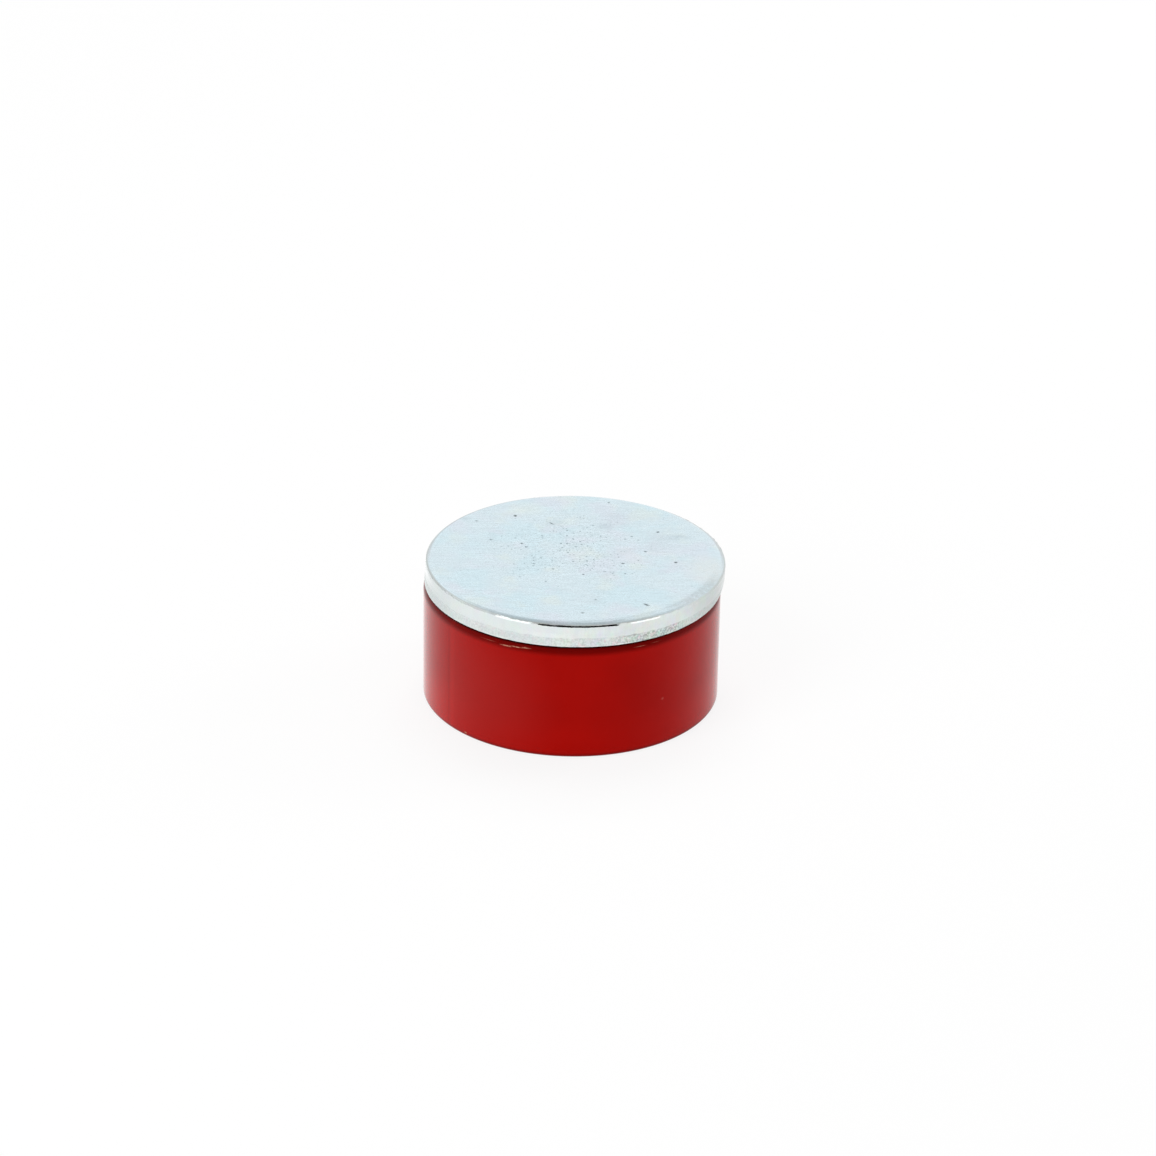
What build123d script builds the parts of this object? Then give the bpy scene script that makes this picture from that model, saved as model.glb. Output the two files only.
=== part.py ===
"""Small alnico pot magnet with its keeper disc, in millimetres, +Z up.

A painted steel cup, the pot, carries a magnet core on its floor. A ring of potting resin fills the gap between
the core and the cup's wall. The cup's rim and the core's end are ground to one flat pole face, and a blanked,
zinc plated steel disc, the keeper, lies on that face a little off centre, held only by the magnet.
A screw hole runs up through the cup's floor and the core, and ends in a countersink in the core's pole face.

The origin is the centre of the cup's underside, on the axis of the screw hole.
"""

import os

from build123d import *

# ---- pot: the steel cup ----
pot_diameter = 19.1
pot_height = 7.8
pot_wall = 1.6
pot_floor = 1.8
rim_round = 0.55
foot_round = 0.22
cup_corner_round = 0.4

# ---- what is held inside the pot ----
gap_width = 2.0
resin_recess = 0.25
core_end_bevel = 0.15

# ---- screw hole ----
hole_diameter = 3.7
countersink_diameter = 6.9
countersink_depth = 1.6

# ---- keeper: the blanked disc ----
keeper_overhang = 0.05
keeper_thickness = 1.6
roll_width = 0.45
roll_depth = 0.28
break_height = 0.6
break_taper = 0.05
burr_round = 0.06
keeper_shift_x = 0.2
keeper_shift_y = 0.1

# ---- what follows from the sizes above ----
pot_radius = pot_diameter / 2
cup_radius = pot_radius - pot_wall
core_radius = cup_radius - gap_width
hole_radius = hole_diameter / 2
countersink_radius = countersink_diameter / 2
keeper_radius = pot_radius + keeper_overhang


def revolved(outline):
    """The solid that a closed outline in the XZ plane makes round the Z axis."""
    return revolve(Plane.XZ * make_face(outline), Axis.Z)


def steel_pot():
    """The cup: a floor with the screw hole through it, and a round wall up to the pole face."""
    inner_corner = (cup_radius, pot_floor)
    outline = Polyline(
        (hole_radius, 0),
        (pot_radius, 0),
        (pot_radius, pot_height),
        (cup_radius, pot_height),
        inner_corner,
        (hole_radius, pot_floor),
        close=True,
    )
    section = make_face(outline)
    corners = section.vertices()
    section = fillet(corners.sort_by_distance((pot_radius, pot_height))[0], rim_round)
    section = fillet(section.vertices().sort_by_distance((pot_radius, 0))[0], foot_round)
    section = fillet(section.vertices().sort_by_distance(inner_corner)[0], cup_corner_round)
    return revolve(Plane.XZ * section, Axis.Z)


def magnet_core():
    """The magnet: a thick ring on the cup's floor, countersunk in its pole face."""
    outline = Polyline(
        (hole_radius, pot_floor),
        (core_radius - core_end_bevel, pot_floor),
        (core_radius, pot_floor + core_end_bevel),
        (core_radius, pot_height),
        (countersink_radius, pot_height),
        (hole_radius, pot_height - countersink_depth),
        close=True,
    )
    return revolved(outline)


def resin_ring():
    """The potting: it fills the gap round the core, from the cup's floor to just under the pole face."""
    cup_corner = (cup_radius, pot_floor)
    outline = Polyline(
        (core_radius - core_end_bevel, pot_floor),
        cup_corner,
        (cup_radius, pot_height - resin_recess),
        (core_radius, pot_height - resin_recess),
        (core_radius, pot_floor + core_end_bevel),
        close=True,
    )
    section = make_face(outline)
    section = fillet(section.vertices().sort_by_distance(cup_corner)[0], cup_corner_round)
    return revolve(Plane.XZ * section, Axis.Z)


def keeper_disc():
    """The keeper: rolled over at its top edge, sheared clean below that, and broken off at a taper."""
    foot_radius = keeper_radius - break_taper
    roll_start = (keeper_radius, keeper_thickness - roll_depth)
    roll_centre = (keeper_radius - roll_width, keeper_thickness - roll_depth)
    side = Polyline(
        (0, keeper_thickness),
        (0, 0),
        (foot_radius - burr_round, 0),
        (foot_radius, burr_round),
        (keeper_radius, break_height),
        roll_start,
    )
    roll = EllipticalCenterArc(roll_centre, roll_width, roll_depth, start_angle=0, arc_size=90)
    top = Line((keeper_radius - roll_width, keeper_thickness), (0, keeper_thickness))
    disc = revolved(side + roll + top)
    return Pos(keeper_shift_x, keeper_shift_y, pot_height) * disc


def main():
    os.makedirs("parts", exist_ok=True)
    nodes = {
        "steel_pot": steel_pot(),
        "magnet_core": magnet_core(),
        "resin_ring": resin_ring(),
        "keeper_disc": keeper_disc(),
    }
    for name, shape in nodes.items():
        export_step(shape, f"parts/{name}.step")


main()
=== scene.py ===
"""Looks of a small pot magnet: a red painted steel cup, with its core in resin, under a zinc plated disc.

Lengths are in metres, +Z is up, and the origin is the centre of the cup's underside.
"""

from math import atan2, cos, degrees, pi, radians, sin

import bmesh
import bpy
from bpy.props import FloatProperty, FloatVectorProperty, IntProperty, PointerProperty
from bpy.types import Operator, Panel, PropertyGroup
from mathutils import Matrix, Vector


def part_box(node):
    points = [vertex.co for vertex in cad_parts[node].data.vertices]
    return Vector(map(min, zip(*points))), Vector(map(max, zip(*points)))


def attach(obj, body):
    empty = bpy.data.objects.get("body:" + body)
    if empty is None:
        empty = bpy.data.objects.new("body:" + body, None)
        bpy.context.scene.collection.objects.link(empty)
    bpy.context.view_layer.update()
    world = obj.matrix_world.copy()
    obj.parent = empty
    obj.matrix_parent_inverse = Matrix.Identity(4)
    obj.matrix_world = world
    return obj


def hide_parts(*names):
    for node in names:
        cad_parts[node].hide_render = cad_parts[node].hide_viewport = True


bl_info = {
    "name": "Pot magnet",
    "version": (1, 0, 0),
    "blender": (4, 5, 0),
    "location": "3D View > Sidebar > Pot magnet",
    "description": "Models and finishes a red pot magnet with its keeper disc",
    "category": "Object",
}

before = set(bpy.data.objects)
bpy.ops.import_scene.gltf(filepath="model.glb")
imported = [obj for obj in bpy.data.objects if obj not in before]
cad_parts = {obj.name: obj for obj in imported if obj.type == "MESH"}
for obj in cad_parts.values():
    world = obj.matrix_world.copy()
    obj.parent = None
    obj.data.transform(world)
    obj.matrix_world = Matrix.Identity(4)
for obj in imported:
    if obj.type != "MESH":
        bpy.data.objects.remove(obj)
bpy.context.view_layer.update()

CUP_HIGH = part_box("steel_pot")[1]
CORE_LOW, CORE_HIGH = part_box("magnet_core")
RESIN_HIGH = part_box("resin_ring")[1]
KEEPER_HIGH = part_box("keeper_disc")[1]

MM = 0.001
TINY = 0.002 * MM
SHIFT_X = 0.20 * MM
SHARPEST_SMOOTH = radians(38)
FACE_RINGS = 26
EDGE_ROWS = 22
LEAN_STEPS = 12
FLOOR_SIZE = 6.0
FLOOR_DROP = 0.01 * MM
LAMP_DISTANCE = 0.34
CAMERA_TARGET = Vector((0.37, 3.13, 6.45)) * MM


# ---- sizes and colours that a user would change ----


def length(name, description, default, low=0.0):
    """A size in metres, shown in the scene's unit."""
    return FloatProperty(
        name=name, description=description, default=default, min=low, precision=6, unit="LENGTH"
    )


def share(name, description, default, high=1.0):
    """A plain number from nought up to its highest value."""
    return FloatProperty(name=name, description=description, default=default, min=0.0, max=high)


def angle(name, description, default):
    """An angle, whose default is given in degrees."""
    return FloatProperty(name=name, description=description, default=radians(default), subtype="ANGLE")


def colour(name, description, default):
    """A colour with no alpha, in linear light."""
    return FloatVectorProperty(
        name=name, description=description, default=default, size=3, min=0.0, max=1.0, subtype="COLOR"
    )


class CupSizes(PropertyGroup):
    """Sizes of the painted steel cup and of what it holds."""

    radius: length("Radius", "Outside radius of the cup", CUP_HIGH.x)
    height: length("Height", "Height of the cup", CUP_HIGH.z)
    wall: length("Wall", "Thickness of the cup's wall", 1.6 * MM)
    floor: length("Floor", "Thickness of the cup's floor", CORE_LOW.z)
    rim_round: length("Rim round", "Radius of the rim's outer edge", 0.55 * MM)
    inner_round: length("Inner rim round", "Radius of the rim's inner edge", 0.08 * MM)
    foot_round: length("Foot round", "Radius of the round at the foot", 0.22 * MM)
    corner_round: length("Corner round", "Radius where wall and floor meet inside", 0.4 * MM)
    mouth_round: length("Mouth round", "Softened mouth of the screw hole", 0.09 * MM)
    hole_radius: length("Hole radius", "Radius of the screw hole", 1.85 * MM)
    core_radius: length("Core radius", "Outside radius of the magnet core", CORE_HIGH.x)
    sink_radius: length("Countersink radius", "Radius of the countersink", 3.45 * MM)
    sink_depth: length("Countersink depth", "Depth of the countersink", 1.6 * MM)
    resin_top: length("Resin level", "Height of the resin's surface", RESIN_HIGH.z)
    paint_waves: length("Paint waves", "How far the paint skin rises and falls", 0.006 * MM)
    segments: IntProperty(name="Segments", description="Faces round the cup", default=320, min=32)


class KeeperSizes(PropertyGroup):
    """Sizes of the blanked keeper disc."""

    shift_x: length("Shift X", "Place of the disc's axis along X", SHIFT_X, low=-1.0)
    shift_y: length("Shift Y", "Place of the disc's axis along Y", 0.10 * MM, low=-1.0)
    radius: length("Radius", "Radius of the disc", KEEPER_HIGH.x - SHIFT_X)
    thickness: length("Thickness", "Thickness of the sheet", KEEPER_HIGH.z - CUP_HIGH.z)
    roll_width: length("Roll width", "Width of the rolled edge, seen from above", 0.45 * MM)
    roll_depth: length("Roll depth", "Drop of the rolled edge", 0.28 * MM)
    roll_lean_x: length("Roll lean X", "Shift of the roll's inner rim towards -X", 0.28 * MM)
    roll_lean_y: length("Roll lean Y", "Shift of the roll's inner rim towards +Y", 0.12 * MM)
    edge_lean_x: length("Edge lean X", "Shift of the disc's foot towards -X", 0.13 * MM)
    edge_lean_y: length("Edge lean Y", "Shift of the disc's foot towards -Y", 0.14 * MM)
    break_height: length("Break height", "Height of the torn band", 0.60 * MM)
    break_taper: length("Break taper", "How far the torn band leans in", 0.05 * MM)
    burr_round: length("Burr round", "Softened edge at the disc's underside", 0.06 * MM)
    torn_depth: length("Torn depth", "Depth of the torn band's roughness", 0.03 * MM)
    segments: IntProperty(name="Segments", description="Faces round the disc", default=640, min=64)


class Finishes(PropertyGroup):
    """Colours of the paint, the plating, the magnet alloy and the resin."""

    paint: colour("Paint", "Enamel", (0.350, 0.0034, 0.0019))
    # This colour is used for wear, and also for the painted highlights at the rim.
    scuff_and_highlight: colour("Scuff", "Rubbed enamel", (0.62, 0.33, 0.22))
    zinc_blue: colour("Zinc, blue", "Main tone of the face", (0.700, 0.828, 0.885))
    zinc_cyan: colour("Zinc, cyan", "Bluer patches", (0.640, 0.830, 0.900))
    zinc_cream: colour("Zinc, cream", "Yellowish patches", (0.765, 0.850, 0.820))
    zinc_pink: colour("Zinc, pink", "Pinkish patches", (0.740, 0.780, 0.870))
    zinc_grey: colour("Zinc, grey", "Duller patches", (0.640, 0.735, 0.800))
    zinc_edge: colour("Zinc, edge", "Burnished edge", (0.71, 0.76, 0.75))
    zinc_torn: colour("Zinc, torn", "Hollows of the torn band", (0.52, 0.56, 0.55))
    alloy: colour("Magnet alloy", "Cast alloy", (0.30, 0.29, 0.28))
    resin: colour("Resin", "Potting resin", (0.035, 0.034, 0.033))


class Studio(PropertyGroup):
    """Floor, lamps and camera."""

    floor: share("Floor tone", "Lightness of the floor", 0.93)
    sky: share("Sky", "Strength of the light from all round", 0.50, high=5.0)
    key: share("Key lamp", "Brightness of the lamp at the left", 3.6, high=50.0)
    fill: share("Fill lamp", "Brightness of the lamp at the right", 3.5, high=50.0)
    front: share("Front lamp", "Brightness of the lamp in front", 2.0, high=50.0)
    top: share("Top lamp", "Brightness of the lamp above", 3.4, high=50.0)
    overhead: share("Overhead", "How bright mirrors see the sky overhead", 0.60)
    floor_glow: share("Floor glow", "How far the floor's shadow is lifted", 0.84)
    camera_distance: length("Camera distance", "From the camera to the point that it faces", 286.5 * MM)
    camera_height: angle("Camera height", "Angle of the view above the floor", 25.87)
    camera_roll: angle("Camera roll", "Turn of the camera about its view", 1.06)
    field_of_view: angle("Field of view", "Angle that the camera takes in", 14.93)


# ---- modelling helpers ----


def start_cylinder(name, radius, low, high, segments):
    """Adds a closed cylinder between two heights on the Z axis and opens it in edit mode."""
    bpy.ops.object.select_all(action="DESELECT")
    bpy.ops.mesh.primitive_cylinder_add(
        vertices=segments, radius=radius, depth=high - low, location=(0, 0, (low + high) / 2)
    )
    piece = bpy.context.active_object
    piece.name = name
    bpy.ops.object.transform_apply(location=True, rotation=True, scale=True)
    bpy.ops.object.mode_set(mode="EDIT")
    bpy.ops.mesh.select_all(action="DESELECT")
    return piece


def pick(piece, kind, test):
    """Selects the piece's vertices, edges or faces for which the test holds, and nothing else."""
    bpy.ops.mesh.select_mode(type=kind)
    bpy.ops.mesh.select_all(action="DESELECT")
    mesh = bmesh.from_edit_mesh(piece.data)
    elements = {"VERT": mesh.verts, "EDGE": mesh.edges, "FACE": mesh.faces}[kind]
    chosen = [element for element in elements if test(element)]
    for element in chosen:
        element.select_set(True)
    mesh.select_flush_mode()
    bmesh.update_edit_mesh(piece.data)
    if not chosen:
        raise RuntimeError(f"{piece.name}: nothing of kind {kind} lies there")


def at(value, wanted):
    return abs(value - wanted) < TINY


def from_axis(point):
    return (point.x**2 + point.y**2) ** 0.5


def middle(face):
    return face.calc_center_median()


def ring_edge(radius, height):
    """A test for the edges of a level ring of one radius at one height."""
    return lambda edge: all(at(v.co.z, height) and at(from_axis(v.co), radius) for v in edge.verts)


def upright_edge(radius, low, high):
    """A test for the edges that stand on one ring and reach up to another."""
    return (
        lambda edge: abs(edge.verts[0].co.z - edge.verts[1].co.z) > TINY
        and all(at(from_axis(v.co), radius) and low - TINY < v.co.z < high + TINY for v in edge.verts)
    )


def spoke_edge(height):
    """A test for the edges at one height that run outwards from the axis."""
    return (
        lambda edge: all(at(v.co.z, height) for v in edge.verts)
        and abs(from_axis(edge.verts[0].co) - from_axis(edge.verts[1].co)) > TINY
    )


def level_face(height, widest=1.0):
    """A test for the level faces at one height that hold the axis and are no wider than given."""
    return (
        lambda face: at(middle(face).z, height)
        and from_axis(middle(face)) < TINY
        and all(from_axis(v.co) < widest + TINY for v in face.verts)
    )


def round_edges(piece, test, radius, steps):
    pick(piece, "EDGE", test)
    bpy.ops.mesh.bevel(
        offset=radius, offset_type="OFFSET", segments=steps, profile=0.5, affect="EDGES", clamp_overlap=False
    )


def cut_edges(piece, test, cuts):
    pick(piece, "EDGE", test)
    bpy.ops.mesh.subdivide(number_cuts=cuts)


def drill(piece, top_height, bottom_height, radius):
    """Joins the two round openings of one radius by a bore."""
    for height in (top_height, bottom_height):
        pick(piece, "FACE", level_face(height, radius))
        bpy.ops.mesh.delete(type="ONLY_FACE")
    pick(
        piece,
        "EDGE",
        lambda edge: edge.is_boundary and all(at(from_axis(v.co), radius) for v in edge.verts),
    )
    bpy.ops.mesh.bridge_edge_loops()


def group_vertices(piece, name, test):
    """Puts the vertices for which the test holds in a named group."""
    pick(piece, "VERT", test)
    bpy.ops.object.vertex_group_add()
    piece.vertex_groups.active.name = name
    bpy.ops.object.vertex_group_assign()
    return name


def roughen(piece, group, grain, depth, direction="NORMAL"):
    """Pushes a group of vertices in and out by a cloudy pattern of one grain size."""
    bpy.ops.object.mode_set(mode="OBJECT")
    pattern = bpy.data.textures.new(f"{piece.name} {group}", "CLOUDS")
    pattern.noise_scale = grain
    pattern.noise_depth = 2
    bpy.ops.object.modifier_add(type="DISPLACE")
    waves = piece.modifiers[-1]
    waves.texture = pattern
    waves.texture_coords = "LOCAL"
    waves.direction = direction
    waves.vertex_group = group
    waves.mid_level = 0.5
    waves.strength = depth
    bpy.ops.object.modifier_apply(modifier=waves.name)
    bpy.ops.object.mode_set(mode="EDIT")


def finish_piece(piece, finish, node):
    """Closes edit mode, shades and dresses a piece, and lets it stand for its CAD node."""
    bpy.ops.mesh.select_all(action="SELECT")
    bpy.ops.mesh.remove_doubles(threshold=TINY / 10)
    bpy.ops.mesh.normals_make_consistent(inside=False)
    bpy.ops.mesh.select_all(action="DESELECT")
    bpy.ops.object.mode_set(mode="OBJECT")
    bpy.ops.object.shade_smooth_by_angle(angle=SHARPEST_SMOOTH)
    piece.data.materials.clear()
    piece.data.materials.append(finish.material)
    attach(piece, "root")
    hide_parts(node)


# ---- materials ----


def arithmetic(operation, swapped=False):
    """A method that adds a Math node, with the reading as its first value or, swapped, as its second."""

    def method(self, other):
        return self.reckon(operation, *((other, self) if swapped else (self, other)))

    return method


class Reading:
    """A value that varies over a surface. Arithmetic on it adds Math nodes."""

    __add__ = arithmetic("ADD")
    __sub__ = arithmetic("SUBTRACT")
    __rsub__ = arithmetic("SUBTRACT", swapped=True)
    __mul__ = arithmetic("MULTIPLY")
    __truediv__ = arithmetic("DIVIDE")
    __pow__ = arithmetic("POWER")
    greatest = arithmetic("MAXIMUM")

    def __init__(self, finish, socket):
        self.finish = finish
        self.socket = socket

    def reckon(self, operation, *values):
        return self.finish.node("ShaderNodeMath", {"operation": operation}, dict(enumerate(values)))

    def ease(self, start, end):
        """Turns smoothly from 0 at start to 1 at end."""
        return self.finish.node(
            "ShaderNodeMapRange",
            {"interpolation_type": "SMOOTHSTEP"},
            {"Value": self, "From Min": start, "From Max": end},
        )


def scaled(tint, factor):
    """A colour made darker or brighter by a factor, up to full light."""
    return tuple(min(1.0, factor * part) for part in tint)


class NodeTree:
    """The nodes of a material or a world, whose outputs are readings."""

    def __init__(self, owner):
        owner.use_nodes = True
        self.tree = owner.node_tree
        self.tree.nodes.clear()

    def node(self, kind, settings=None, values=None, output=0):
        """Adds a node. Its settings are set first, then its inputs, by name or number."""
        made = self.tree.nodes.new(kind)
        for key, value in (settings or {}).items():
            setattr(made, key, value)
        for key, value in (values or {}).items():
            if isinstance(value, Reading):
                self.tree.links.new(value.socket, made.inputs[key])
            else:
                made.inputs[key].default_value = value
        return Reading(self, made.outputs[output])

    def seen(self):
        """1 for what the camera sees, straight, in mirrors or through glass, and 0 for other light."""
        camera, glossy, transmission = (
            self.node("ShaderNodeLightPath", output=ray)
            for ray in ("Is Camera Ray", "Is Glossy Ray", "Is Transmission Ray")
        )
        return camera.greatest(glossy).greatest(transmission)

    def end(self, kind, shader):
        """The output node, with the shader on its surface."""
        output = self.tree.nodes.new(kind)
        self.tree.links.new(shader.socket, output.inputs["Surface"])


class Finish(NodeTree):
    """A node material, made of readings."""

    def __init__(self, name):
        self.material = bpy.data.materials.new(name)
        super().__init__(self.material)
        self.place = self.node("ShaderNodeTexCoord", output="Object")

    def mix(self, factor, first, second, blend="MIX"):
        """A colour between two colours."""
        return self.node(
            "ShaderNodeMix",
            {"data_type": "RGBA", "blend_type": blend},
            {0: factor, 6: self.tint(first), 7: self.tint(second)},
            output=2,
        )

    @staticmethod
    def tint(value):
        return value if isinstance(value, Reading) else (*value, 1.0)

    def shade(self, tint, tone):
        """A colour multiplied by a plain tone."""
        grey = self.node("ShaderNodeCombineXYZ", {}, {0: tone, 1: tone, 2: tone})
        return self.mix(1.0, tint, grey, blend="MULTIPLY")

    def stretch(self, centre=(0, 0, 0), turn=0.0, size=(1, 1, 1)):
        """The place on the piece, seen from a centre, turned about Z and measured in the sizes given."""
        return self.node(
            "ShaderNodeMapping",
            {"vector_type": "TEXTURE"},
            {"Vector": self.place, "Location": centre, "Rotation": (0, 0, turn), "Scale": size},
        )

    def grain(
        self, size, detail=2.0, roughness=0.5, stretch=(1, 1, 1), centre=(0, 0, 0), turn=0.0, output="Fac"
    ):
        """Soft noise whose blotches are about as wide as size, which is in millimetres like the centre."""
        place = self.stretch(tuple(part * MM for part in centre), turn, stretch)
        return self.node(
            "ShaderNodeTexNoise",
            {"noise_dimensions": "3D"},
            {"Vector": place, "Scale": 1 / (size * MM), "Detail": detail, "Roughness": roughness},
            output=output,
        )

    def blot(self, centre, turn, size, hard=0.5):
        """1 inside an ellipsoid of the half sizes given, fading to 0 at its skin."""
        place = self.stretch(centre, turn, size)
        away = self.node("ShaderNodeVectorMath", {"operation": "LENGTH"}, {0: place}, output="Value")
        return away.ease(1.0, hard)

    def wall_blot(self, radius, azimuth, height, half_sizes, hard=0.5):
        """A blot on a cup's wall. Its half sizes run along, through and up the wall, in millimetres."""
        size = tuple(half * MM for half in half_sizes)
        return self.blot(on_wall(radius, azimuth, height), radians(azimuth), size, hard)

    def face_blot(self, x, y, top, half_sizes, hard=0.0):
        """A blot on a level face. Its place and its half sizes are in millimetres."""
        return self.blot((x * MM, y * MM, top), 0.0, tuple(half * MM for half in half_sizes), hard)

    def dots(self, apart, radius, crowding):
        """Small uneven dots seen from above, about as far apart as given, of which a share is kept."""
        cells = {"voronoi_dimensions": "2D", "feature": "F1"}
        values = {"Vector": self.place, "Scale": 1 / apart}
        away = self.node("ShaderNodeTexVoronoi", cells, values, output="Distance")
        chance = self.node("ShaderNodeTexVoronoi", cells, values, output="Color")
        draw, draw_again = (
            self.node("ShaderNodeSeparateColor", {}, {"Color": chance}, output=channel)
            for channel in ("Red", "Green")
        )
        kept = (crowding - draw).ease(0.0, 0.15)
        away = away + (self.grain(radius / MM) - 0.5) * (0.9 * radius / apart)
        reach = (draw_again * 0.9 + 0.4) * (radius / apart)
        return (away / reach).ease(1.0, 0.4) * kept

    def axis(self, name):
        """One coordinate of the place on the piece."""
        return self.node("ShaderNodeSeparateXYZ", {}, {"Vector": self.place}, output=name)

    def reach(self, centre=(0, 0)):
        """The distance from an upright axis."""
        x = self.axis("X") - centre[0]
        y = self.axis("Y") - centre[1]
        return (x * x + y * y) ** 0.5

    def bump(self, height, distance):
        return self.node("ShaderNodeBump", {}, {"Height": height, "Distance": distance, "Strength": 1.0})

    def surface(self, varying, fixed):
        """The shader: inputs that vary over the surface are linked, the rest are set on its sockets."""
        self.end("ShaderNodeOutputMaterial", self.node("ShaderNodeBsdfPrincipled", {}, {**fixed, **varying}))

    def show_through(self, factor, first, second):
        """Ends the material with one shader that gives way to another as the factor rises."""
        mixed = self.node("ShaderNodeMixShader", {}, {0: factor, 1: first, 2: second})
        self.end("ShaderNodeOutputMaterial", mixed)


def on_wall(radius, azimuth, height):
    """The point of a cup's wall at an angle from the front, in degrees, and a height."""
    return (radius * sin(radians(azimuth)), -radius * cos(radians(azimuth)), height)


def red_enamel(tones, sizes):
    """Gloss red paint, with faint orange peel and dust, rub marks at the rim and wear at the foot."""
    paint = Finish("red_enamel")
    radius, height = sizes.radius, sizes.height
    cloud = paint.grain(4.0, detail=3)
    level = paint.axis("Z")
    skin = paint.mix(cloud.ease(0.3, 0.7), scaled(tones.paint, 0.95), scaled(tones.paint, 1.04))

    # Painted light: the enamel is made brighter towards the foot and most on the left, with a painted sheen
    # above that.
    bright = scaled(tones.paint, 2.0)
    skin = paint.mix(level.ease(3.4 * MM, 0.4 * MM) * 0.16, skin, bright)
    # A painted pool of the key lamp's light on the left of the foot.
    lit_foot = paint.wall_blot(radius, -48, 0.9 * MM, (9.5, 5.0, 3.6), hard=0.2)
    skin = paint.mix(lit_foot * 0.25, skin, bright)
    # A painted sheen of the key lamp on the left of the wall.
    painted_sheen = paint.wall_blot(radius, -34, 3.2 * MM, (6.0, 3.5, 6.5), hard=0.1)
    skin = paint.mix(painted_sheen * 0.8, skin, (0.355, 0.0125, 0.0105))

    # Painted highlights of the side lamps on the rim's round, also made rougher and raised like rub marks:
    # angle from the front, height, half length and half height in millimetres, strength.
    marks = (
        (-25.2, 7.37, 0.55, 0.060, 0.95),
        (-21.0, 7.42, 0.75, 0.050, 0.80),
        (-17.0, 7.46, 0.45, 0.060, 0.70),
        (-33.0, 7.44, 0.80, 0.030, 0.35),
        (27.0, 7.42, 0.60, 0.040, 0.45),
        (34.0, 7.45, 0.50, 0.030, 0.30),
    )
    rub_and_highlight = None
    broken = paint.grain(0.14, detail=3).ease(0.38, 0.6)
    for azimuth, mark_height, half_length, half_height, strength in marks:
        half_sizes = (half_length, 0.3, half_height)
        mark = paint.wall_blot(radius - 0.03 * MM, azimuth, mark_height * MM, half_sizes, hard=0.25)
        mark = mark * (broken * 0.5 + 0.5) * strength
        rub_and_highlight = mark if rub_and_highlight is None else rub_and_highlight.greatest(mark)
    # The marks are painted highlights, mixed into the enamel's colour.
    skin = paint.mix(rub_and_highlight, skin, tones.scuff_and_highlight)

    # Painted shade darkens the rim under the keeper's overhang, and a painted shadow fills the seam under the
    # keeper.
    rim_shade = level.ease(height - 0.78 * MM, height - 0.36 * MM) * (1 - rub_and_highlight)
    skin = paint.mix(rim_shade * 0.62, skin, scaled(tones.paint, 0.1))
    seam_shadow = level.ease(height - 0.24 * MM, height - 0.10 * MM)
    skin = paint.mix(seam_shadow * 0.95, skin, (0.01, 0.001, 0.001))

    # A faint upright band of painted reflection, dark and light, a speck on the wall and a fleck at the foot.
    for azimuth, half_width, strength, factor in ((-53.8, 0.16, 0.22, 0.5), (-51.6, 0.34, 0.05, 6.0)):
        reflected_band = paint.wall_blot(radius, azimuth, 3.6 * MM, (half_width, 0.5, 9), hard=0.2)
        skin = paint.mix(reflected_band * strength, skin, scaled(tones.paint, factor))
    speck = paint.wall_blot(radius, 37.7, 3.3 * MM, (0.16, 0.2, 0.13), hard=0.1)
    fleck = paint.wall_blot(radius, -43.6, 0.27 * MM, (0.16, 0.2, 0.07), hard=0.3)
    skin = paint.mix(speck * 0.6, skin, (0.48, 0.08, 0.07))
    skin = paint.mix(fleck * 0.7, skin, tones.scuff_and_highlight)

    # Painted shade darkens the round at the foot, and the underside is worn towards its rim.
    foot_shade = level.ease(0.36 * MM, 0.16 * MM) * level.ease(0.012 * MM, 0.04 * MM)
    skin = paint.mix(foot_shade * 0.4, skin, scaled(tones.paint, 0.15))
    worn = level.ease(0.10 * MM, 0.01 * MM) * paint.reach().ease(radius - 1.5 * MM, radius - 0.3 * MM)
    worn = worn * paint.grain(0.22, detail=5, roughness=0.65).ease(0.54, 0.66)
    skin = paint.mix(worn * 0.3, skin, scaled(tones.scuff_and_highlight, 0.6))

    dull = paint.grain(1.4, detail=3)
    peel = paint.grain(0.55)
    dust = paint.grain(0.11, detail=1).ease(0.72, 0.8)
    relief = peel * 0.55 + dust * 0.5 + rub_and_highlight * 0.4 + speck * 0.8
    paint.surface(
        {
            "Base Color": skin,
            "Roughness": dull * 0.05 + 0.08 + rub_and_highlight * 0.3,
            "Normal": paint.bump(relief, 0.004 * MM),
        },
        {"IOR": 1.27, "Specular Tint": (0.06, 0.06, 0.06, 1.0)},
    )
    return paint


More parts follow.
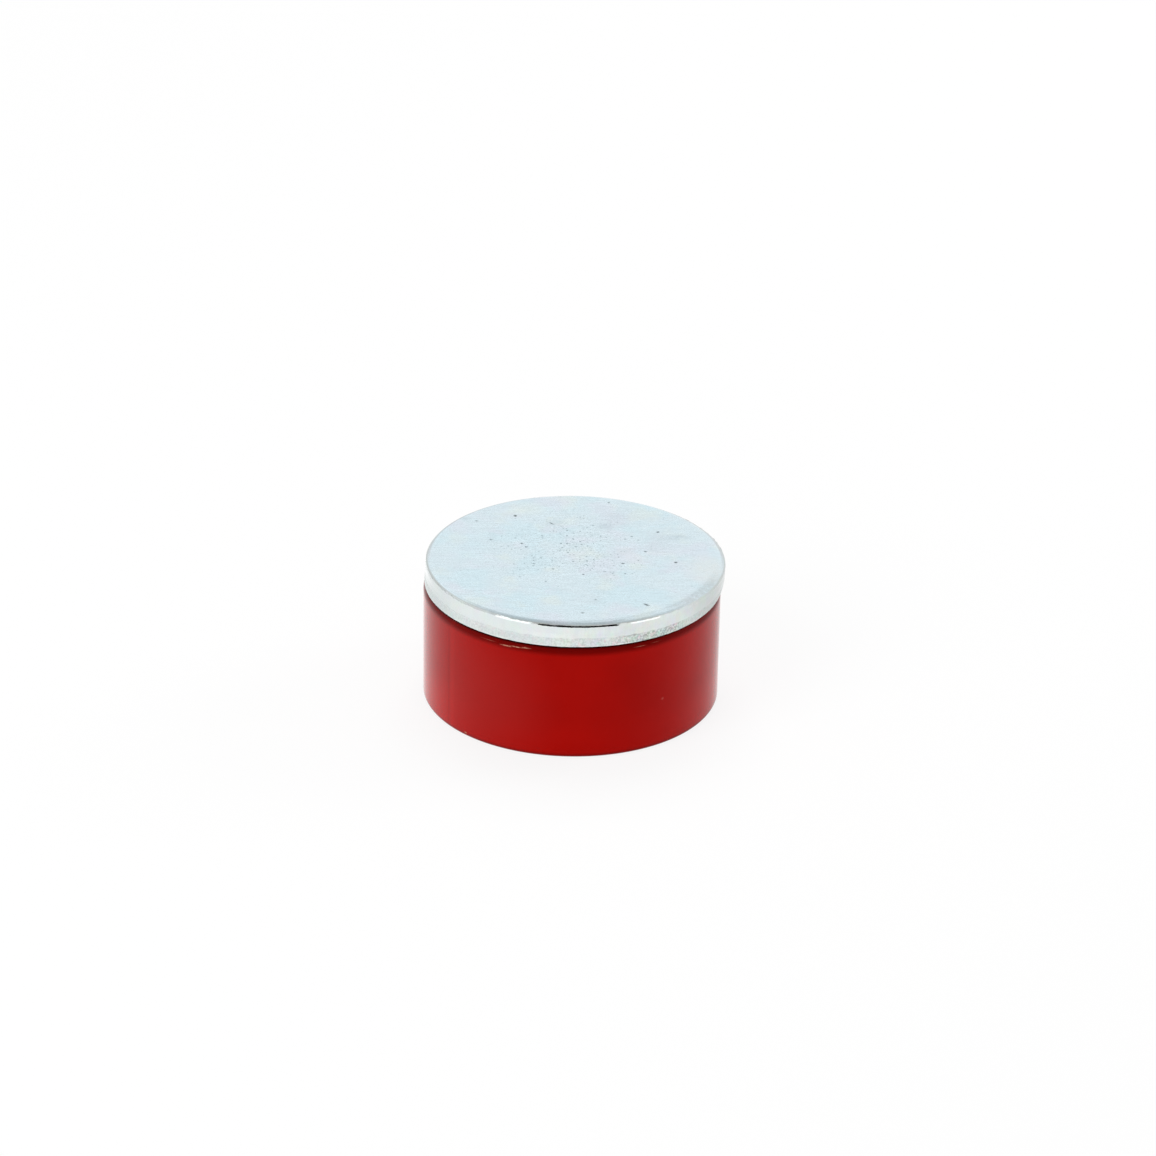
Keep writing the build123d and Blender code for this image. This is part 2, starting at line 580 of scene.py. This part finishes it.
def zinc_face(zinc, tones, radius, top, out):
    """The disc's flat face: its colour, its relief and its specks."""
    # Patches of colour.
    cyan = zinc.grain(3.2, detail=3, centre=(2.1, 5.3, 0)).ease(0.46, 0.64)
    cream = zinc.grain(2.2, detail=3, centre=(5.2, -3.1, 0)).ease(0.52, 0.70)
    pink = zinc.grain(2.6, detail=3, centre=(-6.7, 1.9, 0)).ease(0.50, 0.68)
    skin = zinc.mix(cyan * 0.55, tones.zinc_blue, tones.zinc_cyan)
    skin = zinc.mix(cream * 0.5, skin, tones.zinc_cream)
    skin = zinc.mix(pink * 0.5, skin, tones.zinc_pink)
    patches = (
        (-6.6, 1.6, 1.9, 3.2, 0.6, tones.zinc_cyan),
        (1.4, -3.4, 1.6, 2.2, 0.2, tones.zinc_cyan),
        (0.2, -7.2, 3.0, 1.4, 0.2, tones.zinc_cyan),
        (3.0, 6.3, 2.0, 1.9, 0.6, tones.zinc_grey),
        (5.7, 2.6, 1.6, 2.4, 0.6, tones.zinc_grey),
        (3.7, 1.2, 1.3, 2.0, 0.7, tones.zinc_pink),
        (-2.9, 7.3, 1.7, 1.5, 0.6, tones.zinc_cream),
    )
    for x, y, half_width, half_depth, strength, tint in patches:
        patch = zinc.face_blot(x, y, top, (half_width, half_depth, 2))
        skin = zinc.mix(patch * strength * 0.8, skin, tint)

    # Duller smudges: place from the middle of the face, half sizes and strength.
    smudges = (
        (6.6, 3.4, 1.5, 0.7, 0.5),
        (-5.3, 2.9, 0.5, 1.3, 0.35),
        (2.1, 4.7, 0.9, 0.9, 0.5),
        (-1.2, 5.0, 0.9, 0.8, 0.4),
        (-7.0, 5.6, 0.6, 0.5, 0.4),
        (1.5, -6.0, 0.6, 0.9, 0.3),
    )
    cloudy = zinc.grain(0.7, detail=4, roughness=0.65).ease(0.35, 0.7)
    for x, y, half_width, half_depth, strength in smudges:
        smudge = zinc.face_blot(x, y, top, (half_width, half_depth, 2))
        skin = zinc.mix(smudge * (cloudy * 0.7 + 0.3) * strength, skin, (0.42, 0.52, 0.58))

    # Rolling lines and specks, which crowd in the middle.
    lines = zinc.grain(0.16, detail=3, stretch=(9, 1, 1))
    fine = zinc.grain(0.09)
    crowd = zinc.face_blot(0.0, 1.0, top, (6.6, 8.0, 3))
    clusters = crowd * zinc.grain(1.5, centre=(3, 0, 0)).ease(0.3, 0.62)
    specks = zinc.dots(0.42 * MM, 0.085 * MM, clusters * 0.55 + 0.06)
    specks = specks.greatest(zinc.dots(0.22 * MM, 0.06 * MM, clusters * 0.60 + 0.05) * 0.8)
    skin = zinc.shade(skin, (lines - 0.5) * 0.20 + (fine - 0.5) * (crowd * 0.35 + 0.35) + 0.98)
    skin = zinc.mix(specks * 0.62, skin, (0.12, 0.19, 0.21))

    # Short scour marks, and a paler place at the right that was handled.
    dashes = zinc.grain(0.11, detail=3, roughness=0.6, stretch=(3, 1, 1)).ease(0.56, 0.68)
    scoured = zinc.face_blot(-0.6, 2.4, top, (5.4, 6.0, 3), hard=0.2)
    skin = zinc.mix(dashes * (scoured * 0.28 + 0.06), skin, (0.30, 0.42, 0.46))
    handled = zinc.face_blot(8.7, -1.5, top, (2.1, 3.2, 1))
    skin = zinc.mix(handled * (cloudy * 0.4 + 0.6), skin, (0.76, 0.81, 0.81))

    # A dark line along the far rim, a duller ring at the front right, and the floors of the pits.
    rim_line = out.ease(radius - 0.32 * MM, radius - 0.18 * MM) * zinc.axis("Y").ease(-2.0 * MM, 2.0 * MM)
    skin = zinc.mix(rim_line * 0.5, skin, (0.40, 0.38, 0.37))
    brushed = zinc.wall_blot(radius, 60, top, (4.6, 2.0, 2), hard=0.3)
    dull_ring = out.ease(radius - 0.95 * MM, radius - 0.40 * MM)
    scratched = zinc.grain(0.3, detail=4, roughness=0.6).ease(0.3, 0.6) * 0.3 + 0.2
    skin = zinc.mix(brushed * dull_ring * scratched, skin, (0.47, 0.50, 0.50))
    pit = zinc.node("ShaderNodeAttribute", {"attribute_name": "pit"}, output="Fac")
    skin = zinc.mix(pit * 0.9, skin, (0.02, 0.03, 0.03))
    return skin, fine * 0.35 + lines * 0.2 - specks * 0.5, specks


def zinc_edge(zinc, tones, radius, low, break_height, height):
    """The disc's edge, burnished above and torn below: its colour, its relief and where it is torn."""
    score = zinc.grain(0.10, stretch=(1, 1, 12))
    burnished = zinc.shade(tones.zinc_edge, score * 0.10 + 0.95)
    torn_grain = zinc.grain(0.13, detail=3, roughness=0.65)
    ragged = zinc.grain(0.5, detail=3) * 0.22 * MM
    torn_line = low + break_height - 0.11 * MM
    torn = (height - ragged).ease(torn_line + 0.03 * MM, torn_line - 0.05 * MM)

    # The torn band: hollows, darkest at the front right, with pinkish and greenish tints and a pale burr.
    rough_side = zinc.wall_blot(radius, 32, low + 0.3 * MM, (3.4, 1.5, 1), hard=0.3)
    skin = zinc.mix(torn_grain.ease(0.35, 0.62), tones.zinc_torn, tones.zinc_edge)
    skin = zinc.mix(rough_side * torn_grain.ease(0.62, 0.4) * 0.6, skin, (0.26, 0.30, 0.29))
    for size, centre, tint in (
        (0.26, (1, 0, 0), (0.85, 0.55, 0.60)),
        (0.30, (0, 1, 0), (0.50, 0.78, 0.68)),
    ):
        skin = zinc.mix(zinc.grain(size, centre=centre).ease(0.55, 0.7) * 0.4, skin, tint)
    burr = height.ease(low + 0.12 * MM, low + 0.08 * MM) * zinc.grain(1.3).ease(0.45, 0.61) * 0.7
    skin = zinc.mix(burr, skin, (0.93, 0.93, 0.91))
    skin = zinc.mix(torn, burnished, skin)

    # Faint mixed colours, and painted shade that darkens the edge on the left and towards both sides.
    pastel = zinc.grain(0.8, detail=4, roughness=0.6, output="Color")
    skin = zinc.mix(0.11, skin, pastel, blend="LINEAR_LIGHT")
    across = zinc.axis("X")
    skin = zinc.mix(across.ease(2.5 * MM, -3.5 * MM) * 0.55, skin, (0.50, 0.54, 0.54))
    ends_shade = zinc.node("ShaderNodeMath", {"operation": "ABSOLUTE"}, {0: across}).ease(6.4 * MM, 9.2 * MM)
    skin = zinc.mix(ends_shade * 0.5, skin, (0.40, 0.44, 0.44))
    return skin, score * 0.3 + torn * torn_grain * 2.5, torn


def zinc_plate(tones, sizes, low):
    """Blue-white zinc plate: a tinted and specked face, a burnished edge and a torn band below it."""
    zinc = Finish("zinc_plate")
    radius, top = sizes.radius, low + sizes.thickness
    out = zinc.reach((sizes.shift_x, sizes.shift_y))
    height = zinc.axis("Z")
    face_skin, face_relief, specks = zinc_face(zinc, tones, radius, top, out)
    edge_skin, edge_relief, torn = zinc_edge(zinc, tones, radius, low, sizes.break_height, height)
    edge = out.ease(radius - 0.16 * MM, radius - 0.05 * MM)
    edge = edge.greatest(height.ease(top - 0.2 * MM, top - 0.3 * MM))

    # The ridge at the foot of the roll is ragged and shinier than the rest.
    ridge = height.ease(top - 0.34 * MM, top - 0.26 * MM) * height.ease(top - 0.12 * MM, top - 0.20 * MM)
    ragged_ridge = zinc.grain(0.13, detail=3, roughness=0.6)
    relief = face_relief + edge * (edge_relief + ridge * ragged_ridge * 3.2)
    rough = zinc.grain(1.1, detail=3) * 0.10 + 0.22
    rough = rough - out.ease(radius - 0.5 * MM, radius - 0.2 * MM) * 0.13
    rough = rough - edge * ridge * 0.09
    rough = rough + torn * edge * 0.15 + specks * 0.1
    zinc.surface(
        {
            "Base Color": zinc.mix(edge, face_skin, edge_skin),
            "Roughness": rough,
            "Normal": zinc.bump(relief, 0.006 * MM),
        },
        {"Metallic": 1.0},
    )
    return zinc


def magnet_alloy(tones, sizes):
    """Cast magnet alloy with ground end faces."""
    alloy = Finish("magnet_alloy")
    pits = alloy.grain(0.35, detail=4, roughness=0.6)
    ground = alloy.grain(0.08, stretch=(14, 1, 1), turn=radians(20))
    face = alloy.axis("Z").ease(sizes.height - 0.08 * MM, sizes.height - 0.02 * MM)
    cast = alloy.mix(pits.ease(0.35, 0.65), scaled(tones.alloy, 0.6), tones.alloy)
    bright = alloy.mix(ground, (0.42, 0.42, 0.41), (0.58, 0.58, 0.57))
    alloy.surface(
        {
            "Base Color": alloy.mix(face, cast, bright),
            "Roughness": pits * 0.2 + 0.45 - face * 0.2,
            "Normal": alloy.bump(pits * (1 - face) * 3 + ground * face, 0.01 * MM),
        },
        {"Metallic": 1.0},
    )
    return alloy


def potting_resin(tones):
    """Dark potting resin with fine filler in it."""
    resin = Finish("potting_resin")
    filler = resin.grain(0.12, detail=3)
    ripple = resin.grain(1.6)
    resin.surface(
        {
            "Base Color": resin.mix(filler.ease(0.45, 0.7), tones.resin, scaled(tones.resin, 1.9)),
            "Roughness": ripple * 0.2 + 0.35,
            "Normal": resin.bump(filler + ripple * 2, 0.01 * MM),
        },
        {"IOR": 1.5},
    )
    return resin


# ---- the pieces ----


class POTMAGNET_OT_cup(Operator):
    """Model the red painted cup, with its rounded rim, foot and screw hole"""

    bl_idname = "potmagnet.cup"
    bl_label = "Painted cup"

    def execute(self, context):
        sizes = context.scene.cup_sizes
        radius, height = sizes.radius, sizes.height
        inner = radius - sizes.wall
        cup = start_cylinder("painted_cup", radius, 0.0, height, sizes.segments)
        pick(cup, "FACE", level_face(height))
        bpy.ops.mesh.inset(thickness=sizes.wall)
        bpy.ops.mesh.extrude_region_move(TRANSFORM_OT_translate={"value": (0, 0, sizes.floor - height)})
        bpy.ops.mesh.inset(thickness=inner - sizes.hole_radius)
        pick(cup, "FACE", level_face(0.0))
        bpy.ops.mesh.inset(thickness=radius - sizes.hole_radius)
        drill(cup, sizes.floor, 0.0, sizes.hole_radius)
        round_edges(cup, ring_edge(radius, height), sizes.rim_round, 8)
        round_edges(cup, ring_edge(inner, height), sizes.inner_round, 5)
        round_edges(cup, ring_edge(radius, 0.0), sizes.foot_round, 7)
        round_edges(cup, ring_edge(inner, sizes.floor), sizes.corner_round, 4)
        round_edges(cup, ring_edge(sizes.hole_radius, 0.0), sizes.mouth_round, 4)
        cut_edges(cup, upright_edge(radius, sizes.foot_round, height - sizes.rim_round), 27)
        cut_edges(cup, spoke_edge(0.0), 15)

        def painted(vertex):
            return from_axis(vertex.co) > radius - sizes.rim_round or at(vertex.co.z, 0.0)

        skin = group_vertices(cup, "skin", painted)
        roughen(cup, skin, 3.2 * MM, sizes.paint_waves)
        finish_piece(cup, red_enamel(context.scene.finishes, sizes), "steel_pot")
        return {"FINISHED"}


class POTMAGNET_OT_core(Operator):
    """Model the magnet core, a ring with a countersunk hole"""

    bl_idname = "potmagnet.core"
    bl_label = "Magnet core"

    def execute(self, context):
        sizes = context.scene.cup_sizes
        low, high = sizes.floor, sizes.height
        core = start_cylinder("magnet_ring", sizes.core_radius, low, high, sizes.segments)
        pick(core, "FACE", level_face(high))
        bpy.ops.mesh.inset(thickness=sizes.core_radius - sizes.sink_radius)
        bpy.ops.mesh.inset(thickness=sizes.sink_radius - sizes.hole_radius, depth=-sizes.sink_depth)
        pick(core, "FACE", level_face(low))
        bpy.ops.mesh.inset(thickness=sizes.core_radius - sizes.hole_radius)
        drill(core, high - sizes.sink_depth, low, sizes.hole_radius)
        round_edges(core, ring_edge(sizes.core_radius, low), 0.15 * MM, 2)
        round_edges(core, ring_edge(sizes.sink_radius, high), 0.05 * MM, 2)
        cut_edges(core, upright_edge(sizes.hole_radius, low, high), 11)
        bore = group_vertices(core, "bore", lambda v: at(from_axis(v.co), sizes.hole_radius))
        roughen(core, bore, 0.7 * MM, 0.04 * MM)
        finish_piece(core, magnet_alloy(context.scene.finishes, sizes), "magnet_core")
        return {"FINISHED"}


class POTMAGNET_OT_resin(Operator):
    """Model the resin between the core and the cup, with its sunk surface"""

    bl_idname = "potmagnet.resin"
    bl_label = "Resin fill"

    def execute(self, context):
        sizes = context.scene.cup_sizes
        inner = sizes.radius - sizes.wall
        low, high = sizes.floor, sizes.resin_top
        gap = inner - sizes.core_radius
        fill = start_cylinder("resin_fill", inner, low, high, sizes.segments)
        for height in (low, high):
            pick(fill, "FACE", level_face(height))
            bpy.ops.mesh.inset(thickness=gap)
        drill(fill, high, low, sizes.core_radius)
        round_edges(fill, ring_edge(inner, low), sizes.corner_round, 4)
        cut_edges(fill, spoke_edge(high), 7)

        # The resin sank a little as it set, most in the middle of the gap.
        def from_walls(vertex):
            return min(inner - from_axis(vertex.co), from_axis(vertex.co) - sizes.core_radius)

        for inset_share in (0.35, 0.2, 0.08):
            pick(
                fill, "VERT", lambda v: v.co.z > high - 0.2 * MM and from_walls(v) > inset_share * gap
            )
            bpy.ops.transform.translate(value=(0, 0, -0.03 * MM))
        finish_piece(fill, potting_resin(context.scene.finishes), "resin_ring")
        return {"FINISHED"}


class POTMAGNET_OT_keeper(Operator):
    """Model the blanked keeper disc, with its rolled edge, torn band, nick and pits"""

    bl_idname = "potmagnet.keeper"
    bl_label = "Keeper disc"

    # Pits in the face: place from the disc's centre, half length and half width, turn in degrees, depth.
    pits = (
        (-4.0, 6.1, 0.12, 0.10, 10, 0.080),
        (-6.5, 5.2, 0.13, 0.08, 0, 0.030),
        (-1.6, 5.0, 0.22, 0.07, -42, 0.035),
        (-5.5, 2.4, 0.10, 0.09, 0, 0.028),
        (-3.5, 1.9, 0.10, 0.08, 20, 0.040),
        (-3.2, 1.4, 0.08, 0.07, 0, 0.035),
        (2.1, 8.4, 0.10, 0.09, 0, 0.035),
        (5.3, 4.0, 0.10, 0.10, 15, 0.050),
        (6.4, -0.5, 0.12, 0.10, 0, 0.055),
        (4.5, 1.0, 0.09, 0.07, 0, 0.032),
        (3.0, -0.8, 0.10, 0.08, -10, 0.038),
        (0.5, -2.5, 0.11, 0.07, 0, 0.036),
        (4.5, -6.7, 0.26, 0.09, -35, 0.045),
        (1.3, -6.1, 0.10, 0.08, 0, 0.032),
        (0.5, -8.0, 0.13, 0.08, 0, 0.034),
    )

    def execute(self, context):
        sizes = context.scene.keeper_sizes
        radius, top = sizes.radius, sizes.thickness
        width, depth = sizes.roll_width, sizes.roll_depth
        disc = start_cylinder("keeper_plate", radius, 0.0, top, sizes.segments)

        # The rolled edge: a round bevel, pressed flat to the roll's depth.
        round_edges(disc, ring_edge(radius, top), width, 14)
        pick(disc, "VERT", lambda v: v.co.z > top - width - TINY)
        bpy.ops.transform.resize(value=(1, 1, depth / width), center_override=(0, 0, top))
        shoulder = top - depth

        # Rings on the flat face, and its middle.
        flat = radius - width
        pick(disc, "FACE", level_face(top))
        for _ in range(FACE_RINGS):
            bpy.ops.mesh.inset(thickness=flat * 0.96 / FACE_RINGS)
        bpy.ops.mesh.poke()

        # The upright edge in rows, its torn band leaning in, and its softened foot.
        cut_edges(disc, upright_edge(radius, 0.0, shoulder), EDGE_ROWS - 1)
        for row in range(EDGE_ROWS):
            level = shoulder * row / EDGE_ROWS
            if level < sizes.break_height:
                lean = (sizes.break_height - level) / sizes.break_height
                narrower = 1 - sizes.break_taper * lean / radius
                pick(disc, "VERT", lambda v: at(v.co.z, level) and from_axis(v.co) > radius / 2)
                bpy.ops.transform.resize(value=(narrower, narrower, 1), center_override=(0, 0, 0))
        round_edges(disc, ring_edge(radius - sizes.break_taper, 0.0), sizes.burr_round, 3)

        # The edge was blanked a little out of square: towards its foot it drifts off the shoulder's axis.
        drift = (-sizes.edge_lean_x / LEAN_STEPS, -sizes.edge_lean_y / LEAN_STEPS, 0)
        for step in range(LEAN_STEPS):
            limit = shoulder * (1 - (step / LEAN_STEPS) ** 0.4) - TINY
            pick(disc, "VERT", lambda v: v.co.z < limit)
            bpy.ops.transform.translate(value=drift)

        # The roll is wider on one side of the disc than on the other.
        shares = (0.15, 0.35, 0.55, 0.75, 0.95)
        drift = (-sizes.roll_lean_x / len(shares), sizes.roll_lean_y / len(shares), 0)
        for share_in in shares:
            limit = radius - share_in * width + TINY
            pick(disc, "VERT", lambda v: v.co.z > shoulder + TINY and from_axis(v.co) < limit)
            bpy.ops.transform.translate(value=drift)

        for pit in self.pits:
            self.press_pit(disc, top, *pit)
        self.nick(disc, radius, shoulder)

        def outside(vertex, depth):
            return from_axis(vertex.co) > radius - depth

        torn = group_vertices(
            disc, "torn", lambda v: v.co.z < sizes.break_height and outside(v, 2 * sizes.break_taper)
        )
        ridge = group_vertices(
            disc, "ridge", lambda v: abs(v.co.z - shoulder) < 0.10 * MM and outside(v, 0.1 * MM)
        )
        face = group_vertices(disc, "face", lambda v: v.co.z > top - 0.01 * MM)
        pick(disc, "VERT", lambda v: True)
        bpy.ops.transform.translate(value=(sizes.shift_x, sizes.shift_y, context.scene.cup_sizes.height))
        roughen(disc, torn, 0.17 * MM, sizes.torn_depth)
        roughen(disc, ridge, 0.16 * MM, 0.17 * MM, direction="Z")
        roughen(disc, face, 2.2 * MM, 0.012 * MM)
        finish = zinc_plate(context.scene.finishes, sizes, context.scene.cup_sizes.height)
        finish_piece(disc, finish, "keeper_disc")
        return {"FINISHED"}

    def press_pit(self, disc, top, x, y, half_length, half_width, turn, depth):
        """Cuts the face finer round one spot and presses it down in steps."""
        spot = Vector((x * MM, y * MM, 0))
        back = Matrix.Rotation(-radians(turn), 3, "Z")

        def away(point):
            """0 at the pit's middle, 1 at its lip."""
            local = back @ (Vector((point.x, point.y, 0)) - spot)
            return ((local.x / (half_length * MM)) ** 2 + (local.y / (half_width * MM)) ** 2) ** 0.5

        reach = max(half_length, half_width) * MM + 0.25 * MM
        pick(
            disc,
            "FACE",
            lambda face: middle(face).z > top - 0.01 * MM and (middle(face) - spot).xy.length < reach,
        )
        bpy.ops.mesh.subdivide(number_cuts=4)
        for lip, part in ((1.0, 0.2), (0.8, 0.25), (0.6, 0.3), (0.35, 0.25)):
            mesh = bmesh.from_edit_mesh(disc.data)
            if any(v.co.z > top - 0.3 * MM and away(v.co) < lip for v in mesh.verts):
                pick(disc, "VERT", lambda v: v.co.z > top - 0.3 * MM and away(v.co) < lip)
                bpy.ops.transform.translate(value=(0, 0, -depth * part * MM))
        # How deep the pit is, for the material.
        mesh = bmesh.from_edit_mesh(disc.data)
        layer = mesh.verts.layers.float.get("pit") or mesh.verts.layers.float.new("pit")
        for vertex in mesh.verts:
            if vertex.co.z > top - 0.3 * MM and away(vertex.co) < 1.2:
                vertex[layer] = max(vertex[layer], min(1.0, (1.2 - away(vertex.co)) * depth / 0.05))
        bmesh.update_edit_mesh(disc.data)

    def nick(self, disc, radius, shoulder):
        """A small dent in the ridge of the rolled edge, left of the front."""
        spot = Vector(on_wall(radius, -35.2, shoulder))
        for reach, push in ((0.20 * MM, 0.005 * MM), (0.14 * MM, 0.008 * MM), (0.09 * MM, 0.010 * MM)):
            pick(disc, "VERT", lambda v: (v.co - spot).length < reach)
            inward = -spot.normalized() * push
            bpy.ops.transform.translate(value=(inward.x, inward.y, -push * 0.6))


# ---- the stage ----


def bearing(point):
    """The angle of a point from the front, in degrees."""
    return degrees(atan2(point.x, -point.y))


def pointed_at(place, target):
    """The turn that points a lamp at the target."""
    return (Vector(target) - Vector(place)).to_track_quat("-Z", "Y").to_euler()


def around(distance, azimuth, elevation):
    """A place at a distance from the object, at angles from the front and above the floor, in degrees."""
    a, e = radians(azimuth), radians(elevation)
    return (distance * cos(e) * sin(a), -distance * cos(e) * cos(a), distance * sin(e))


class POTMAGNET_OT_studio(Operator):
    """Set up the pale floor, the soft lamps, the strips round the rim and the camera"""

    bl_idname = "potmagnet.studio"
    bl_label = "Studio"

    def execute(self, context):
        studio = context.scene.studio
        self.camera(context, studio)
        self.floor(studio)
        keeper, foot = context.scene.keeper_sizes, context.scene.cup_sizes.height
        # Strips: name, angle from the front, half angle, fade at the ends, rise over the disc and brightness.
        for strip in (
            ("dark_strip", 1.5, 19.0, 7.0, 0.24 * MM, 0.01),
            ("left_strip", -24.0, 9.5, 4.0, 0.17 * MM, 1.8),
            ("right_strip", 28.0, 8.0, 4.0, 0.15 * MM, 1.5),
        ):
            self.rim_strip(keeper, foot, *strip)
        self.lamp("key", around(LAMP_DISTANCE, -48, 36), (0.17, 0.2), studio.key)
        self.lamp("fill", around(LAMP_DISTANCE, 112, 18), (0.13, 0.2), studio.fill)
        self.lamp("front", around(LAMP_DISTANCE, -8, 9), (0.26, 0.06), studio.front)
        self.lamp("top", around(0.5, 180, 62), (0.3, 0.3), studio.top)
        self.sky(context, studio)
        context.scene.view_settings.view_transform = "Standard"
        return {"FINISHED"}

    def camera(self, context, studio):
        """The view from the front and above, on a long lens."""
        tilt = Matrix.Rotation(pi / 2 - studio.camera_height, 4, "X")
        roll = Matrix.Rotation(studio.camera_roll, 4, "Z")
        turn = tilt @ roll
        place = CAMERA_TARGET + turn.to_3x3() @ Vector((0, 0, studio.camera_distance))
        bpy.ops.object.camera_add(location=place, rotation=turn.to_euler())
        camera = context.active_object
        camera.data.angle = studio.field_of_view
        camera.data.clip_start = 0.01
        context.scene.camera = camera

    def floor(self, studio):
        """A wide pale floor, clear from below, and open under the cup so that light reaches it there."""
        bpy.ops.object.select_all(action="DESELECT")
        bpy.ops.mesh.primitive_plane_add(size=FLOOR_SIZE, location=(0, 0, -FLOOR_DROP))
        plane = bpy.context.active_object
        plane.name = "floor"
        finish = Finish("pale_floor")
        tone = studio.floor
        pale = finish.node("ShaderNodeBsdfDiffuse", {}, {"Color": (tone, tone, tone, 1)})
        clear = finish.node("ShaderNodeBsdfTransparent")
        # Mirrors see the floor a little brighter towards the key lamp.
        mirrored = finish.node("ShaderNodeLightPath", output="Is Glossy Ray")
        sideways = finish.axis("X").ease(20 * MM, -20 * MM) * 0.36
        strength = mirrored * sideways + 1.0
        glow = finish.node("ShaderNodeEmission", {}, {"Color": (1, 1, 1, 1), "Strength": strength})
        share_lifted = finish.seen() * studio.floor_glow
        lifted = finish.node("ShaderNodeMixShader", {}, {0: share_lifted, 1: pale, 2: glow})
        under = finish.node("ShaderNodeNewGeometry", output="Backfacing")
        under = under.greatest(finish.reach().ease(CUP_HIGH.x - 0.4 * MM, CUP_HIGH.x - 0.6 * MM))
        finish.show_through(under, lifted, clear)
        plane.data.materials.append(finish.material)

    def rim_strip(self, keeper, foot, name, azimuth, half_angle, fade, rise, tone):
        """A low strip close round the keeper, dark or bright, seen only in its rolled edge."""
        top = foot + keeper.thickness
        low, high = top - keeper.roll_depth - 0.02 * MM, top + rise
        strip = start_cylinder(name, keeper.radius + 0.1 * MM, low, high, 720)
        pick(
            strip,
            "FACE",
            lambda face: from_axis(middle(face)) < keeper.radius / 2
            or abs(bearing(middle(face)) - azimuth) > half_angle,
        )
        bpy.ops.mesh.delete(type="FACE")
        bpy.ops.object.mode_set(mode="OBJECT")
        strip.location = (keeper.shift_x, keeper.shift_y, 0)
        finish = Finish(name)
        turn = finish.axis("X")
        turn = turn.reckon("ARCTAN2", turn, finish.axis("Y") * -1)
        away = turn.reckon("ABSOLUTE", turn - radians(azimuth))
        shown = away.ease(radians(half_angle), radians(half_angle - fade))
        shown = shown * finish.axis("Z").ease(low - 0.02 * MM, low + 0.05 * MM)
        shown = (shown + (finish.grain(0.16, detail=3, roughness=0.6) - 0.5) * 1.5).ease(0.35, 0.6)
        clear = finish.node("ShaderNodeBsdfTransparent")
        glow = finish.node("ShaderNodeEmission", {}, {"Color": (1, 1, 1, 1), "Strength": tone})
        finish.show_through(shown, clear, glow)
        strip.data.materials.append(finish.material)
        strip.visible_camera = False
        strip.visible_diffuse = False
        strip.visible_transmission = False
        strip.visible_shadow = False

    def lamp(self, name, place, size, brightness):
        """A soft lamp of a size and a brightness, which the camera doesn't see."""
        bpy.ops.object.light_add(type="AREA", location=place, rotation=pointed_at(place, (0, 0, 6 * MM)))
        lamp = bpy.context.active_object
        lamp.name = name
        lamp.data.shape = "RECTANGLE"
        lamp.data.size, lamp.data.size_y = size
        lamp.data.energy = brightness * pi * size[0] * size[1]
        lamp.visible_camera = False
        lamp.visible_glossy = False

    def sky(self, context, studio):
        """An even sky, white to the camera and in mirrors, and softer as a light."""
        world = bpy.data.worlds.new("sky")
        context.scene.world = world
        nodes = NodeTree(world)
        lit = nodes.node("ShaderNodeBackground", {}, {"Color": (1, 1, 1, 1), "Strength": studio.sky})
        # Mirrors see the sky a little softer overhead.
        direction = nodes.node("ShaderNodeTexCoord", output="Generated")
        upwards = nodes.node("ShaderNodeSeparateXYZ", {}, {0: direction}, output="Z")
        softer = nodes.node(
            "ShaderNodeMapRange",
            {"interpolation_type": "SMOOTHSTEP"},
            {"Value": upwards, "From Min": 0.62, "From Max": 0.98, "To Min": 1.0, "To Max": studio.overhead},
        )
        mirrored = nodes.node("ShaderNodeLightPath", output="Is Glossy Ray")
        white = nodes.node("ShaderNodeMix", {}, {"Factor": mirrored, "A": 1.0, "B": softer}, output="Result")
        shown = nodes.node("ShaderNodeBackground", {}, {"Color": white, "Strength": 1.0})
        choose = nodes.node("ShaderNodeMixShader", {}, {0: nodes.seen(), 1: lit, 2: shown})
        nodes.end("ShaderNodeOutputWorld", choose)


class POTMAGNET_PT_panel(Panel):
    """Lists the steps, and the sizes and colours that they use"""

    bl_idname = "POTMAGNET_PT_panel"
    bl_label = "Pot magnet"
    bl_space_type = "VIEW_3D"
    bl_region_type = "UI"
    bl_category = "Pot magnet"

    def draw(self, context):
        for step in STEPS:
            self.layout.operator(step.bl_idname)
        for group_name in GROUPS:
            box = self.layout.box()
            group = getattr(context.scene, group_name)
            for name in group.__annotations__:
                box.prop(group, name)


STEPS = (POTMAGNET_OT_studio, POTMAGNET_OT_cup, POTMAGNET_OT_core, POTMAGNET_OT_resin, POTMAGNET_OT_keeper)
GROUPS = {"cup_sizes": CupSizes, "keeper_sizes": KeeperSizes, "finishes": Finishes, "studio": Studio}


def register():
    for cls in (*GROUPS.values(), *STEPS, POTMAGNET_PT_panel):
        bpy.utils.register_class(cls)
    for name, group in GROUPS.items():
        setattr(bpy.types.Scene, name, PointerProperty(type=group))


def unregister():
    for name in GROUPS:
        delattr(bpy.types.Scene, name)
    for cls in reversed((*GROUPS.values(), *STEPS, POTMAGNET_PT_panel)):
        bpy.utils.unregister_class(cls)


def main():
    register()
    bpy.ops.potmagnet.studio()
    bpy.ops.potmagnet.cup()
    bpy.ops.potmagnet.core()
    bpy.ops.potmagnet.resin()
    bpy.ops.potmagnet.keeper()


if __name__ == "__main__":
    main()
